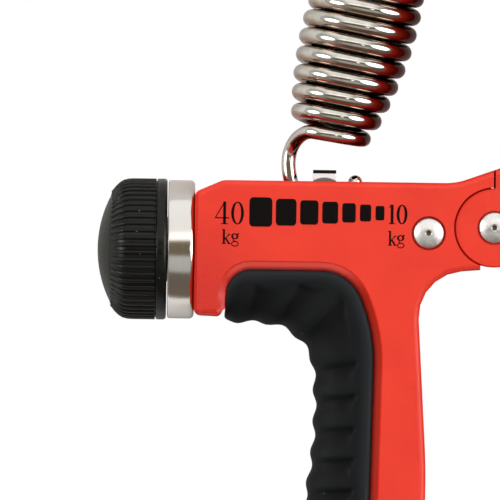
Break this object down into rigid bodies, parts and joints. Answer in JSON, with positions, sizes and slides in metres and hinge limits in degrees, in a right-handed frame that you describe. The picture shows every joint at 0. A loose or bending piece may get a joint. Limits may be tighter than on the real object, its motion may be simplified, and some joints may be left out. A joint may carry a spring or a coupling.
{
  "type": "hand grip strengthener",
  "caption": "Adjustable hand grip strengthener: two padded handles on a pivot, a barrel coil spring above them and a ribbed end knob that sets its tension.",
  "frame": {"origin": "on the rear rest face of the housing, level with the main pivot and 30 mm from it towards the knob", "axes": "+X along the adjusting screw from the knob to the lever, +Y from the handles up to the spring, +Z out of the front face"},
  "size_m": [0.1321, 0.179, 0.0275],
  "materials": {
    "red_plastic": "fine textured",
    "black_plastic": "satin",
    "grey_plastic": "satin",
    "white_plastic": "natural nylon",
    "pad_rubber": "moulded",
    "spring_chrome": "polished",
    "plated_steel": "zinc plated",
    "ring_steel": "polished",
    "brass": "machined"
  },
  "bodies": {
    "finger_handle": {"finger_shell_front": "red_plastic", "finger_shell_rear": "red_plastic", "finger_pad": "pad_rubber", "ferrule": "ring_steel", "screw_bush": "white_plastic", "tail_block": "plated_steel", "body_rivet": "plated_steel", "finger_shell_screws": "plated_steel", "pivot_bush": "brass", "pivot_washers": "white_plastic"},
    "palm_lever": {"lever_shell_front": "red_plastic", "lever_shell_rear": "red_plastic", "palm_pad": "pad_rubber", "lever_shell_screws": "plated_steel", "pivot_rivet": "plated_steel", "anchor_pin": "plated_steel"},
    "roller": {"anchor_roller": "plated_steel"},
    "spring": {"coil_spring": "spring_chrome"},
    "carriage": {"carriage": "plated_steel"},
    "adjuster": {"lead_screw": "plated_steel", "thrust_washer": "white_plastic", "knob_body": "black_plastic", "knob_insert": "brass", "knob_nut": "plated_steel", "knob_cap": "grey_plastic"}
  },
  "joints": [
    {"name": "grip_squeeze", "type": "hinge", "parent": "finger_handle", "child": "palm_lever", "pos_m": [0.03, 0, 0.0135], "axis": [0, 0, -1], "range_deg": [0, 30], "stiffness_Nm_per_rad": 16, "springref_deg": -20.05, "deforming": ["coil_spring"]},
    {"name": "knob_turn", "type": "hinge", "parent": "finger_handle", "child": "adjuster", "pos_m": [-0.04, -0.0049, 0.0135], "axis": [1, 0, 0], "range_deg": [-3600, 4320]},
    {"name": "carriage_slide", "type": "slide", "parent": "finger_handle", "child": "carriage", "axis": [-1, 0, 0], "range_m": [-0.0101, 0.0121], "deforming": ["coil_spring"]},
    {"name": "anchor_swing", "type": "hinge", "parent": "palm_lever", "child": "roller", "pos_m": [0.01092, 0.06846, 0.0135], "axis": [0, 0, -1], "range_deg": [-11, 13]},
    {"name": "spring_stretch", "type": "slide", "parent": "roller", "child": "spring", "axis": [0.0326, -0.9995, 0], "range_m": [-0.0001, 0.0177], "deforming": ["coil_spring"]}
  ],
  "couplings": [
    {"joint": "carriage_slide", "follows": "knob_turn", "m_per_rad": 0.00015915},
    {"joint": "anchor_swing", "follows": "knob_turn", "ratio": 0.00286},
    {"joint": "spring_stretch", "follows": "grip_squeeze", "m_per_rad": 0.033501}
  ]
}
